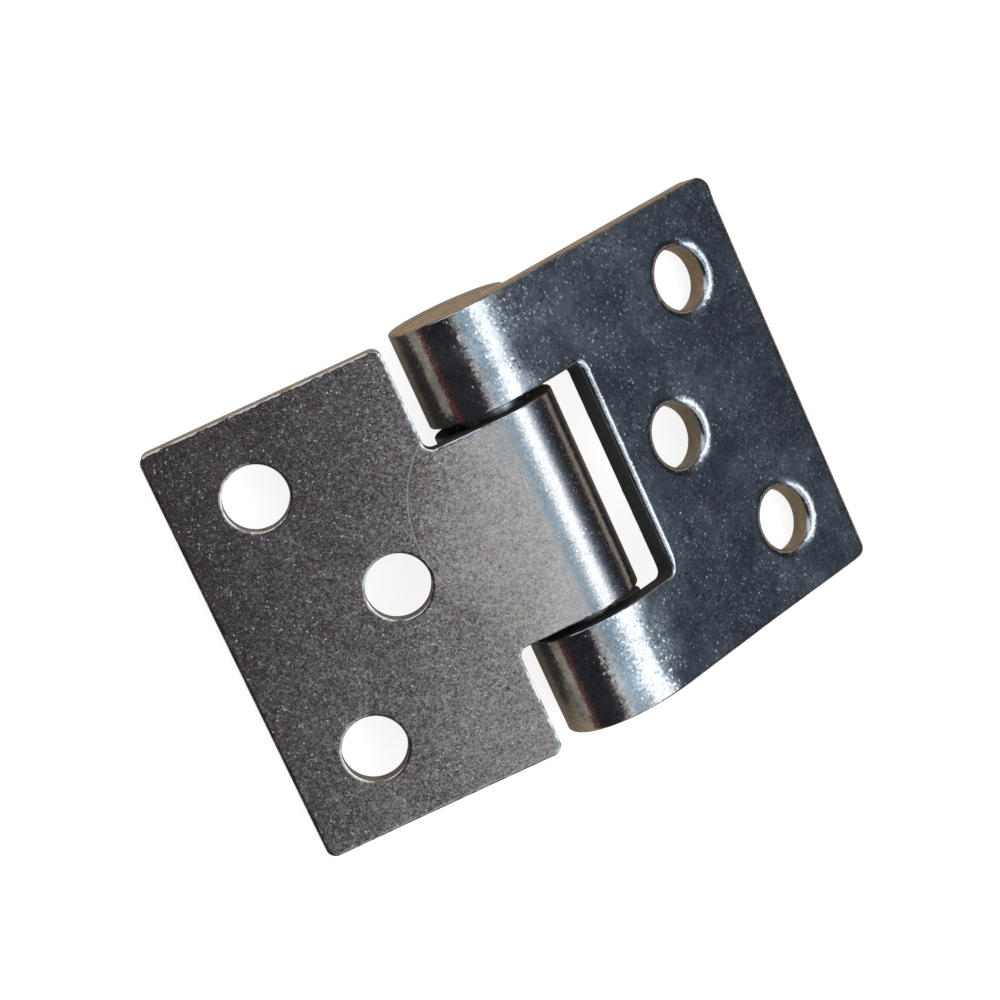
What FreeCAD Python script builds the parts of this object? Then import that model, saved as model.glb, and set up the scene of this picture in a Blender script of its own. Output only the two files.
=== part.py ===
"""Armchair hinge: two thick steel leaves whose rolled knuckles turn on one plain pin.

The row frame has +Y along the pin, +Z up and its origin on the floor under the pin. The hinge lies
as it comes to rest, on its centre knuckle and on the free edges of both leaves. Each leaf is first
made flat in its own frame: X from the pin axis towards the free edge, Y along the pin, Z through
the sheet towards the plain outer face, with the pin axis at the origin.
"""

import FreeCAD
import Part
import math
import os

V = FreeCAD.Vector

# Overall sizes, in millimetres
HINGE_LENGTH = 60.0
LEAF_REACH = 45.0
SHEET = 3.5

# Pin
PIN_DIAMETER = 10.0
PIN_END_RECESS = 0.5
PIN_CHAMFER = 0.8

# Knuckles: the pin is tight in the outer pair and runs in the centre one
RUNNING_CLEARANCE = 0.05
CENTRE_KNUCKLE = 29.4
KNUCKLE_GAP = 1.3
KNUCKLE_RELIEF = 1.9
CURL_END_GAP = 0.8

# Screw holes: an outer pair near the free edge and a middle one nearer to the pin
HOLE_DIAMETER = 9.0
OUTER_HOLE_FROM_EDGE = 11.8
MIDDLE_HOLE_FROM_PIN = 21.2
OUTER_HOLE_SPACING = 37.4

# Punched edges: eased on the skin where the punch went in, sharp on the other skin
CORNER_RADIUS = 1.4
RELIEF_CORNER_RADIUS = 1.3
RIM_EASE = 0.4
HOLE_ROLL = 0.9

# How far a cutting tool runs past the metal
PAST = 2.0
# Two places count as one below this distance
SAME = 1e-4
# Handle length of the cubic curve that follows a quarter circle of radius one
QUARTER_HANDLE = 0.5523

# Worked-out sizes shared by the pieces
PIN_RADIUS = PIN_DIAMETER / 2
CENTRE_BORE = PIN_RADIUS + RUNNING_CLEARANCE
CENTRE_OUTSIDE = CENTRE_BORE + SHEET
OUTER_BORE = PIN_RADIUS
OUTER_OUTSIDE = OUTER_BORE + SHEET
HALF_LENGTH = HINGE_LENGTH / 2
HALF_CENTRE = CENTRE_KNUCKLE / 2
HALF_SLOT = HALF_CENTRE + KNUCKLE_GAP
PIN_HEIGHT = CENTRE_OUTSIDE


def corner_edges(shape, x, y):
    """Return the straight edges that run through the sheet at the place (x, y)."""
    def here(point):
        return math.hypot(point.x - x, point.y - y) < SAME
    return [edge for edge in shape.Edges
            if len(edge.Vertexes) == 2 and all(here(vertex.Point) for vertex in edge.Vertexes)]


def knuckle_window(low_y, high_y, edge_x, rounded_y):
    """Return the tool that clears the flat sheet from the pin out to edge_x, with round inner corners."""
    height = 2 * (OUTER_OUTSIDE + PAST)
    tool = Part.makeBox(edge_x + PAST, high_y - low_y, height, V(-PAST, low_y, 0))
    corners = [edge for y in rounded_y for edge in corner_edges(tool, edge_x, y)]
    return tool.makeFillet(RELIEF_CORNER_RADIUS, corners)


def hole_tool(x, y, punched, far):
    """Return the tool for one screw hole: straight through, with a rolled mouth at the punched skin.

    The half section is turned about the hole's axis. Its mouth is a quarter circle from the wall out
    to the skin, drawn as one cubic curve.
    """
    outward = 1 if punched > far else -1
    wall = HOLE_DIAMETER / 2
    mouth = wall + HOLE_ROLL
    below, above = far - outward * PAST, punched + outward * PAST
    bend_start, bend_end = V(wall, 0, punched - outward * HOLE_ROLL), V(mouth, 0, punched)
    corner = V(wall, 0, punched)
    roll = Part.BezierCurve()
    roll.setPoles([
        bend_start,
        bend_start + (corner - bend_start) * QUARTER_HANDLE,
        bend_end + (corner - bend_end) * QUARTER_HANDLE,
        bend_end,
    ])
    path = [V(mouth, 0, punched), V(mouth, 0, above), V(0, 0, above), V(0, 0, below), V(wall, 0, below), bend_start]
    sides = [Part.LineSegment(start, end).toShape() for start, end in zip(path, path[1:])]
    section = Part.Face(Part.Wire([roll.toShape()] + sides))
    tool = section.revolve(V(0, 0, 0), V(0, 0, 1), 360)
    tool.translate(V(x, y, 0))
    return tool


def screw_holes(punched, far):
    """Return the tools for a leaf's three screw holes."""
    outer_x = LEAF_REACH - OUTER_HOLE_FROM_EDGE
    places = [
        (outer_x, OUTER_HOLE_SPACING / 2),
        (MIDDLE_HOLE_FROM_PIN, 0),
        (outer_x, -OUTER_HOLE_SPACING / 2),
    ]
    return [hole_tool(x, y, punched, far) for x, y in places]


def rim_edges(shape, level):
    """Return the edges round the flat skin at one level, without those on the bend line at x = 0."""
    def on_rim(edge):
        points = [vertex.Point for vertex in edge.Vertexes]
        flat = all(abs(point.z - level) < SAME for point in points)
        return flat and any(point.x > SAME for point in points)
    return [edge for edge in shape.Edges if on_rim(edge)]


def flat_leaf(bore, windows, rounded_places, punched):
    """Return the flat run of a leaf: cleared beside its knuckles, with round corners and one eased rim."""
    blank = Part.makeBox(LEAF_REACH, HINGE_LENGTH, SHEET, V(0, -HALF_LENGTH, bore))
    blank = blank.cut(windows)
    corners = [edge for x, y in rounded_places for edge in corner_edges(blank, x, y)]
    blank = blank.makeFillet(CORNER_RADIUS, corners)
    blank = blank.makeChamfer(RIM_EASE, rim_edges(blank, punched))
    far = 2 * bore + SHEET - punched
    return blank.cut(screw_holes(punched, far))


def curled(flat, bore):
    """Return the leaf whole: each strip that ends on the bend line goes on round the bore as a knuckle.

    The strip's end face is turned about the pin axis until its tip, at the outside radius, stands
    CURL_END_GAP short of the leaf's own inner skin.
    """
    tip_angle = math.degrees(math.asin((bore - CURL_END_GAP) / (bore + SHEET)))
    sweep = 270 + tip_angle
    strip_ends = [face for face in flat.Faces if face.BoundBox.XMax < SAME]
    curls = [end.revolve(V(0, 0, 0), V(0, -1, 0), sweep) for end in strip_ends]
    return flat.fuse(curls)


def make_centre_leaf():
    """Return the leaf that carries the one wide knuckle between two notches, punched from its inner skin."""
    tab_edge = OUTER_OUTSIDE + KNUCKLE_RELIEF
    over = HALF_LENGTH + PAST
    notches = [
        knuckle_window(HALF_CENTRE, over, tab_edge, [HALF_CENTRE]),
        knuckle_window(-over, -HALF_CENTRE, tab_edge, [-HALF_CENTRE]),
    ]
    rounded = [(x, y) for x in (tab_edge, LEAF_REACH) for y in (-HALF_LENGTH, HALF_LENGTH)]
    return curled(flat_leaf(CENTRE_BORE, notches, rounded, CENTRE_BORE), CENTRE_BORE)


def make_outer_leaf():
    """Return the leaf that carries the two end knuckles beside a wide slot, punched from its outer skin."""
    slot_edge = CENTRE_OUTSIDE + KNUCKLE_RELIEF
    slot = knuckle_window(-HALF_SLOT, HALF_SLOT, slot_edge, [-HALF_SLOT, HALF_SLOT])
    rounded = [(LEAF_REACH, -HALF_LENGTH), (LEAF_REACH, HALF_LENGTH)]
    return curled(flat_leaf(OUTER_BORE, [slot], rounded, OUTER_OUTSIDE), OUTER_BORE)


def make_pin():
    """Return the plain pin, a little shorter than the hinge and chamfered at both ends."""
    length = HINGE_LENGTH - 2 * PIN_END_RECESS
    pin = Part.makeCylinder(PIN_RADIUS, length, V(0, -length / 2, 0), V(0, 1, 0))
    rims = [edge for edge in pin.Edges if edge.Closed]
    return pin.makeChamfer(PIN_CHAMFER, rims)


def rest_tilt(bore, ease):
    """Return the angle below level at which a leaf lies with the corner of its inner skin on the floor.

    In the flat leaf that corner is at (across, bore) from the pin axis. Turned down by the tilt it lies
    one pin height below the axis: bore cos(tilt) - across sin(tilt) = -pin height.
    """
    across = LEAF_REACH - ease
    drop = -PIN_HEIGHT / math.hypot(across, bore)
    return math.degrees(math.acos(drop) - math.atan2(across, bore))


def lay_down(leaf, tilt, turn):
    """Return a flat leaf turned about the vertical, tilted about the pin axis and lifted to the pin."""
    leaf.rotate(V(0, 0, 0), V(0, 0, 1), turn)
    leaf.rotate(V(0, 0, 0), V(0, 1, 0), tilt)
    leaf.translate(V(0, 0, PIN_HEIGHT))
    return leaf


def main():
    """Build the three pieces, place them and write one STEP file for each."""
    centre_tilt = rest_tilt(CENTRE_BORE, RIM_EASE)
    outer_tilt = rest_tilt(OUTER_BORE, 0)
    pin = make_pin()
    pin.translate(V(0, 0, PIN_HEIGHT))
    pieces = {
        "centre_knuckle_leaf": lay_down(make_centre_leaf(), -centre_tilt, 180),
        "outer_knuckle_leaf": lay_down(make_outer_leaf(), outer_tilt, 0),
        "hinge_pin": pin,
    }
    os.makedirs("parts", exist_ok=True)
    for name, shape in pieces.items():
        print(name, "valid", shape.isValid(), "solids", len(shape.Solids), "volume", round(shape.Volume, 1))
        shape.Solids[0].exportStep("parts/" + name + ".step")
    print("leaf tilts", round(centre_tilt, 4), round(outer_tilt, 4), "pin height", PIN_HEIGHT)


main()
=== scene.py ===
"""Dresses the armchair hinge in zinc-plated steel and lays it on a pale studio floor.

Sizes are in millimetres and angles in degrees, as a maker writes them, until a mesh or a lamp is made.
Both leaves are worked out flat, as a pattern of places (s, y): s runs from the pin towards the free edge
and goes below zero round the knuckle, y runs along the pin. A third number, the depth, runs through the
sheet from the plain outer skin. The pattern is then bent round the pin and laid down at rest.
"""

import logging
import math
from dataclasses import dataclass
from enum import Enum

import bpy
import numpy as np
from mathutils import Matrix, Vector
from mathutils.geometry import delaunay_2d_cdt


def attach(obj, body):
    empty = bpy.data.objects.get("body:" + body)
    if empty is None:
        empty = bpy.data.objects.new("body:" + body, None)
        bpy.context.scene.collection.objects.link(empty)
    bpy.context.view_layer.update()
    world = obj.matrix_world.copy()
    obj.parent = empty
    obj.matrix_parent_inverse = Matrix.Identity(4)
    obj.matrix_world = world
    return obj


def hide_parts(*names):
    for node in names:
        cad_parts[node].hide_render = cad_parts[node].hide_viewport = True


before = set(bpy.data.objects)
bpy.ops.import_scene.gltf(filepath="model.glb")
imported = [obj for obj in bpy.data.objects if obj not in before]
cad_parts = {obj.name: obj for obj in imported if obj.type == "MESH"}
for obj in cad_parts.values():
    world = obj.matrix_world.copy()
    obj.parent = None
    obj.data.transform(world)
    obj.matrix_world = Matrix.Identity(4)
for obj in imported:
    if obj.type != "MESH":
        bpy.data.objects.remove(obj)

log = logging.getLogger("armchair_hinge")
MM = 0.001

# What a node gives out, what its input takes, and what its properties are set to
Socket = bpy.types.NodeSocket
Signal = Socket | float | tuple[float, ...]
Setting = str | bool | bpy.types.NodeTree

# The hinge as a whole
HINGE_LENGTH = 60.0
LEAF_REACH = 45.0
SHEET = 3.5
PIN_RADIUS = 5.0
CENTRE_BORE = 5.05
OUTER_BORE = 5.0
PIN_HEIGHT = CENTRE_BORE + SHEET

# How the meshes are made: places on a corner's arc, and Blender's triangulation that keeps the loops
# and adds edges to make valid faces, with its nearness
ARC_PLACES = 11
VALID_FACES = 4
NEARNESS = 1e-7


class Turn(Enum):
    """Which way a leaf lies from the pin: as worked out, or half a turn about the vertical."""

    AS_DRAWN = 1.0
    HALF_TURN = -1.0


# Cut edges and flat patterns


@dataclass(frozen=True)
class EdgeForm:
    """How a cut edge is broken where it meets one skin.

    Args:
        across: width of the broken edge on the skin.
        deep: its depth down the wall.
        flatness: 0 for a round edge, 1 for a plain bevel.
        wander: share by which the width wanders along the edge.
    """

    across: float
    deep: float
    flatness: float = 0.0
    wander: float = 0.0


@dataclass(frozen=True)
class Corner:
    """A corner of the flat pattern and the edge that runs on from it.

    Args:
        s: place across the leaf.
        y: place along the pin.
        radius: radius of the corner.
        outer: form of the following edge at the outer skin.
        inner: form of the following edge at the inner skin.
    """

    s: float
    y: float
    radius: float
    outer: EdgeForm
    inner: EdgeForm


@dataclass
class Contour:
    """A closed cut edge as arrays: places, directions out of the metal and edge forms.

    Args:
        place: N by 2 places (s, y).
        out: N by 2 unit directions out of the metal.
        forms: N by 8 numbers, the outer and then the inner edge form of each place.
    """

    place: np.ndarray
    out: np.ndarray
    forms: np.ndarray

    def length(self) -> np.ndarray:
        """Return the distance run along the contour at each place."""
        step = np.linalg.norm(np.roll(self.place, -1, 0) - self.place, axis=1)
        return np.concatenate([[0.0], np.cumsum(step)[:-1]])


def form_row(outer: EdgeForm, inner: EdgeForm) -> list[float]:
    """Return two edge forms as one row of numbers."""
    return [n for form in (outer, inner) for n in (form.across, form.deep, form.flatness, form.wander)]


def outline_contour(corners: list[Corner], step: float, blend: int) -> Contour:
    """Return the outline through the corners, run with the metal on its left.

    Each corner is an arc tangent to both its edges: centre = corner + (a - b) radius / (1 + cos turn),
    where a and b are the directions into and out of the corner turned towards the metal. Straight runs
    are divided evenly, and the edge forms are averaged over neighbouring places, so that they run into
    each other.

    Args:
        corners: corners in order.
        step: longest distance between places.
        blend: number of places over which the edge forms are averaged.

    Returns:
        The outline.
    """
    points = np.array([(c.s, c.y) for c in corners])
    into = points - np.roll(points, 1, 0)
    into /= np.linalg.norm(into, axis=1)[:, None]
    leave = np.roll(into, -1, 0)
    turn = np.arctan2(into[:, 0] * leave[:, 1] - into[:, 1] * leave[:, 0], np.sum(into * leave, 1))
    radius = np.array([c.radius for c in corners])
    setback = radius * np.tan(np.abs(turn) / 2)
    left = np.stack([-into[:, 1], into[:, 0]], 1)
    centre = points - into * setback[:, None] + left * (radius * np.sign(turn))[:, None]
    places, outs, forms = [], [], []
    for k, corner in enumerate(corners):
        row = form_row(corner.outer, corner.inner)
        start = math.atan2(-left[k, 1] * np.sign(turn[k]), -left[k, 0] * np.sign(turn[k]))
        angle = start + turn[k] * np.linspace(0, 1, ARC_PLACES)
        ray = np.stack([np.cos(angle), np.sin(angle)], 1)
        places.append(centre[k] + ray * radius[k])
        outs.append(ray * np.sign(turn[k]))
        forms.append(np.tile(row, (len(angle), 1)))
        after = (k + 1) % len(corners)
        first = points[k] + leave[k] * setback[k]
        last = points[after] - leave[k] * setback[after]
        count = max(2, math.ceil(np.linalg.norm(last - first) / step))
        share = np.linspace(0, 1, count + 1)[1:-1, None]
        places.append(first + (last - first) * share)
        outs.append(np.tile([leave[k, 1], -leave[k, 0]], (count - 1, 1)))
        forms.append(np.tile(row, (count - 1, 1)))
    rows = np.concatenate(forms)
    padded = np.concatenate([rows[-blend:], rows, rows[:blend]])
    window = np.hanning(2 * blend + 3)[1:-1]
    smooth = [np.convolve(column, window / window.sum(), "valid") for column in padded.T]
    return Contour(np.concatenate(places), np.concatenate(outs), np.stack(smooth, 1))


def hole_contour(s: float, y: float, radius: float, outer: EdgeForm, inner: EdgeForm, count: int) -> Contour:
    """Return a round hole's edge: centre + radius (cos t, -sin t), which keeps the metal on its left.

    Args:
        s: place of its centre across the leaf.
        y: place of its centre along the pin.
        radius: of the hole.
        outer: form of its edge at the outer skin.
        inner: form of its edge at the inner skin.
        count: number of places round it.

    Returns:
        The hole's edge.
    """
    t = np.linspace(0, 2 * math.pi, count, endpoint=False)
    ray = np.stack([np.cos(t), -np.sin(t)], 1)
    return Contour(np.array([s, y]) + ray * radius, -ray, np.tile(form_row(outer, inner), (count, 1)))


def ripple(
    length: np.ndarray, seed: int, waves: int = 90, finest: float = 0.9, decades: float = 1.1
) -> np.ndarray:
    """Return a smooth random line of about unit height: a sum of sines of random length and phase.

    Args:
        length: distance run at each place.
        seed: for the lengths and phases.
        waves: number of sines.
        finest: shortest wavelength.
        decades: powers of ten between the shortest and the longest.

    Returns:
        The height at each place.
    """
    rng = np.random.default_rng(seed)
    wavelength = finest * 10 ** rng.uniform(0, decades, waves)
    phase = rng.uniform(0, 2 * math.pi, waves)
    return np.sin(2 * math.pi * length[:, None] / wavelength + phase).sum(1) / math.sqrt(waves / 2)


@dataclass(frozen=True)
class Section:
    """The section that every contour carries, from the outer skin over the wall to the inner skin.

    Args:
        thickness: of the sheet.
        margin: width of the level strip on each skin beside the broken edge.
        tear: how far the middle of the wall is worn in.
        tear_wander: share by which that wanders along the edge.
    """

    thickness: float = SHEET
    margin: float = 0.22
    tear: float = 0.03
    tear_wander: float = 0.5

    ROUND = (0.0, 0.08, 0.25, 0.45, 0.65, 0.85, 0.95, 1.0)
    WALL = (0.2, 0.4, 0.6, 0.8)

    def rim(self, forms: np.ndarray, swell: np.ndarray) -> tuple[np.ndarray, np.ndarray]:
        """Return inset and depth over one broken edge.

        A round edge is the quarter ellipse inset = across (1 - sin a), depth = deep (1 - cos a); a bevel
        is inset = across (1 - t), depth = deep t. The flatness mixes the two.

        Args:
            forms: N by 4 numbers, the edge form of each place.
            swell: how the width wanders at each place.

        Returns:
            Inset and depth, each K by N.
        """
        t = np.array(self.ROUND)[:, None]
        a = t * math.pi / 2
        across, deep, flat = forms[:, 0] * (1 + forms[:, 3] * swell), forms[:, 1], forms[:, 2]
        inset = across * ((1 - np.sin(a)) * (1 - flat) + (1 - t) * flat)
        depth = deep * ((1 - np.cos(a)) * (1 - flat) + t * flat)
        return inset, depth

    def along(self, contour: Contour, seed: int) -> tuple[np.ndarray, np.ndarray, np.ndarray]:
        """Return the whole section at each place of a contour: rim, wall and rim, with level strips.

        Args:
            contour: with N places.
            seed: for the wander of the edges.

        Returns:
            Inset, depth and wall share, each K by N.
        """
        length = contour.length()
        swell_outer, swell_inner = ripple(length, seed), ripple(length, seed + 1)
        inset_o, depth_o = self.rim(contour.forms[:, :4], swell_outer)
        inset_i, depth_i = self.rim(contour.forms[:, 4:], swell_inner)
        wall = np.array(self.WALL)[:, None]
        depth_w = depth_o[-1] + (self.thickness - depth_i[-1] - depth_o[-1]) * wall
        inset_w = self.tear * np.sin(math.pi * wall) * (1 + self.tear_wander * swell_outer)
        edge_o = np.broadcast_to(np.array(self.ROUND)[:, None], inset_o.shape)
        back = self.thickness - depth_i
        inset = np.concatenate([
            inset_o[:1] + self.margin, inset_o, inset_w, inset_i[::-1], inset_i[:1] + self.margin,
        ])
        depth = np.concatenate([depth_o[:1], depth_o, depth_w, back[::-1], back[:1]])
        share = np.concatenate([edge_o[:1], edge_o, np.ones_like(inset_w), edge_o[::-1], edge_o[:1]])
        return inset, depth, share


# Meshes


@dataclass
class Pattern:
    """A sheet piece in its flat pattern: vertices, painted values and faces.

    Args:
        place: N by 3 numbers (s, y, depth).
        wall: N by 3 numbers (distance along the cut edge, depth, share of wall).
        faces: lists of vertex numbers.
    """

    place: np.ndarray
    wall: np.ndarray
    faces: list[list[int]]


def signed_area(flat: np.ndarray, triangles: np.ndarray) -> np.ndarray:
    """Return twice the area of each triangle, positive where its corners run anticlockwise."""
    a, b, c = (flat[triangles[:, k]] for k in range(3))
    return (b - a)[:, 0] * (c - a)[:, 1] - (b - a)[:, 1] * (c - a)[:, 0]


def ring_area(ring: np.ndarray) -> float:
    """Return twice the area inside a ring of points, positive where it runs anticlockwise."""
    after = np.roll(ring, -1, 0)
    return float(np.sum(ring[:, 0] * after[:, 1] - ring[:, 1] * after[:, 0]))


def ring_faces(number: np.ndarray) -> list[list[int]]:
    """Return the faces between neighbouring rows of vertex numbers, each row closed to a ring."""
    after = np.roll(number, -1, 1)
    return np.stack([number[:-1], number[1:], after[1:], after[:-1]], -1).reshape(-1, 4).tolist()


def skin_faces(loops: list[np.ndarray], flat: np.ndarray, inner_points: np.ndarray) -> np.ndarray:
    """Return triangles that fill a skin between its loops, each a ring of vertex numbers.

    A triangle on three points of one hole's ring lies in the hole where its corners, taken in the ring's
    order, turn as the ring does. Where they turn the other way it fills a dent of the rim.

    Args:
        loops: vertex numbers of each closed loop.
        flat: all vertices' places (s, y).
        inner_points: vertex numbers of the points inside the skin.

    Returns:
        Triangles of vertex numbers, seen from the outer side.
    """
    numbers = np.concatenate(loops + [inner_points]).astype(int)
    edges, start = [], 0
    for loop in loops:
        ring = np.arange(start, start + len(loop))
        edges += np.stack([ring, np.roll(ring, -1)], 1).tolist()
        start += len(loop)
    coords = list(map(Vector, flat[numbers].tolist()))
    _, _, faces, origins, _, _ = delaunay_2d_cdt(coords, edges, [], VALID_FACES, NEARNESS)
    source = np.array([origin[0] for origin in origins])
    triangles = source[np.array(faces)]
    wrong = signed_area(flat[numbers], triangles) < 0
    triangles[wrong] = triangles[wrong][:, ::-1]
    ring_of = [np.full(len(loop), k) for k, loop in enumerate(loops)] + [np.full(len(inner_points), 0)]
    owner = np.concatenate(ring_of)[triangles]
    in_ring = (owner[:, 0] > 0) & (owner[:, 0] == owner[:, 1]) & (owner[:, 1] == owner[:, 2])
    turns = np.array([np.sign(ring_area(flat[loop])) for loop in loops])
    in_hole = in_ring & (signed_area(flat[numbers], np.sort(triangles, 1)) * turns[owner[:, 0]] > 0)
    return numbers[triangles[~in_hole]]


def sheet_pattern(contours: list[Contour], section: Section, grid: np.ndarray, seed: int) -> Pattern:
    """Return a sheet piece: the section carried along each contour, and both skins filled between.

    Args:
        contours: the outline first, then the holes.
        section: what is carried along them.
        grid: places (s, y) inside both skins, which divide the bent runs finely.
        seed: for the wander of the edges.

    Returns:
        The piece in its flat pattern.
    """
    place, wall, faces, outer_loops, inner_loops, base = [], [], [], [], [], 0
    for k, contour in enumerate(contours):
        inset, depth, share = section.along(contour, seed + 10 * k)
        rows, count = inset.shape
        ring = contour.place[None] - contour.out[None] * inset[..., None]
        place.append(np.concatenate([ring, depth[..., None]], 2).reshape(-1, 3))
        run = np.broadcast_to(contour.length(), inset.shape)
        wall.append(np.stack([run, depth, share], 2).reshape(-1, 3))
        number = base + np.arange(rows * count).reshape(rows, count)
        faces += ring_faces(number)
        outer_loops.append(number[0])
        inner_loops.append(number[-1])
        base += rows * count
    for depth_value in (0.0, section.thickness):
        place.append(np.column_stack([grid, np.full(len(grid), depth_value)]))
        wall.append(np.tile([0.0, depth_value, 0.0], (len(grid), 1)))
    places, walls = np.concatenate(place), np.concatenate(wall)
    flat = places[:, :2]
    inside_outer = base + np.arange(len(grid))
    faces += skin_faces(outer_loops, flat, inside_outer).tolist()
    faces += skin_faces(inner_loops, flat, inside_outer + len(grid))[:, ::-1].tolist()
    return Pattern(places, walls, faces)


def make_object(
    name: str, vertices: np.ndarray, faces: list[list[int]], paint: dict[str, np.ndarray]
) -> bpy.types.Object:
    """Return a smooth mesh object at the origin.

    Args:
        name: of the object.
        vertices: N by 3 places in millimetres.
        faces: lists of vertex numbers.
        paint: N by 3 numbers for each named attribute.

    Returns:
        The object, linked into the scene.
    """
    mesh = bpy.data.meshes.new(name)
    mesh.from_pydata((vertices * MM).tolist(), [], faces)
    mesh.shade_smooth()
    for attribute, values in paint.items():
        layer = mesh.attributes.new(attribute, "FLOAT_VECTOR", "POINT")
        layer.data.foreach_set("vector", values.astype(np.float32).ravel())
    mesh.validate()
    mesh.update()
    made = bpy.data.objects.new(name, mesh)
    bpy.context.scene.collection.objects.link(made)
    return made


# Nodes and finishes


class Bench:
    """Adds nodes to one tree and joins them."""

    def __init__(self, tree: bpy.types.NodeTree) -> None:
        """Take the tree to work on."""
        self.tree = tree

    def add(
        self, kind: str, values: dict[str | int, Signal] | None = None, **settings: Setting
    ) -> bpy.types.Node:
        """Return a new node.

        Args:
            kind: Blender's name of the node.
            values: sockets to join or numbers to set, by the input's name or number.
            settings: properties of the node.

        Returns:
            The node.
        """
        node = self.tree.nodes.new(kind)
        for name, setting in settings.items():
            setattr(node, name, setting)
        for name, value in (values or {}).items():
            self.put(node.inputs[name], value)
        return node

    def put(self, socket: Socket, value: Signal) -> None:
        """Join a socket to another one, or set its number.

        Args:
            socket: the input to feed.
            value: what feeds it.
        """
        if isinstance(value, Socket):
            self.tree.links.new(value, socket)
        else:
            socket.default_value = value

    def math(
        self, operation: str, a: Signal, b: Signal = 0.0, c: Signal = 0.0, clamp: bool = False
    ) -> Socket:
        """Return the result of a Math node."""
        return self.add("ShaderNodeMath", {0: a, 1: b, 2: c}, operation=operation, use_clamp=clamp).outputs[0]

    def vector(self, operation: str, a: Signal, b: Signal = (0.0, 0.0, 0.0)) -> Socket:
        """Return the vector result of a Vector Math node."""
        return self.add("ShaderNodeVectorMath", {0: a, 1: b}, operation=operation).outputs[0]

    def scale(self, a: Signal, by: Signal) -> Socket:
        """Return a vector times a number."""
        return self.add("ShaderNodeVectorMath", {0: a, "Scale": by}, operation="SCALE").outputs[0]

    def rise(self, value: Signal, level: Signal, width: float) -> Socket:
        """Return 0 below a level and 1 above it, with a straight rise of the given width."""
        return self.math("DIVIDE", self.math("SUBTRACT", value, level), width, clamp=True)

    def step(self, value: Signal, zero: float, one: float) -> Socket:
        """Return 0 beyond the place zero and 1 beyond the place one, with a smooth change between."""
        values = {"Value": value, "From Min": zero, "From Max": one}
        return self.add("ShaderNodeMapRange", values, interpolation_type="SMOOTHSTEP").outputs[0]

    def mix(self, share: Signal, a: Signal, b: Signal) -> Socket:
        """Return colour a with its share of colour b mixed in."""
        return self.add("ShaderNodeMix", {0: share, 6: a, 7: b}, data_type="RGBA").outputs[2]

    def noise(self, place: Signal, scale: Signal, detail: float = 2.0, rough: float = 0.5) -> Socket:
        """Return the value of a Noise texture."""
        values = {"Vector": place, "Scale": scale, "Detail": detail, "Roughness": rough}
        return self.add("ShaderNodeTexNoise", values).outputs[0]


def new_group(
    name: str, inputs: dict[str, tuple[str, float | None]], outputs: dict[str, str]
) -> tuple[Bench, dict[str, Socket], bpy.types.Node]:
    """Make a new shader node group.

    Args:
        name: of the group.
        inputs: the kind and the default value of each input.
        outputs: the kind of each output.

    Returns:
        A bench for the group, its input sockets by name, and its output node.
    """
    tree = bpy.data.node_groups.new(name, "ShaderNodeTree")
    for title, (kind, default) in inputs.items():
        socket = tree.interface.new_socket(title, in_out="INPUT", socket_type=kind)
        if default is not None:
            socket.default_value = default
    for title, kind in outputs.items():
        tree.interface.new_socket(title, in_out="OUTPUT", socket_type=kind)
    entry, leave = tree.nodes.new("NodeGroupInput"), tree.nodes.new("NodeGroupOutput")
    return Bench(tree), {title: entry.outputs[title] for title in inputs}, leave


GRAIN_INPUTS = ("Scale", "Lean", "Fleck Size", "Fleck Share", "Fleck Lean", "Stretch")
CRYSTALS = ((1.0, 1.0), (0.45, 0.4))  # scale and lean of each size of crystal, as shares of the inputs
STROKE_TURNS = (0.5, 1.7, 2.6)  # how far each set of strokes is turned, in radians


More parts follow.
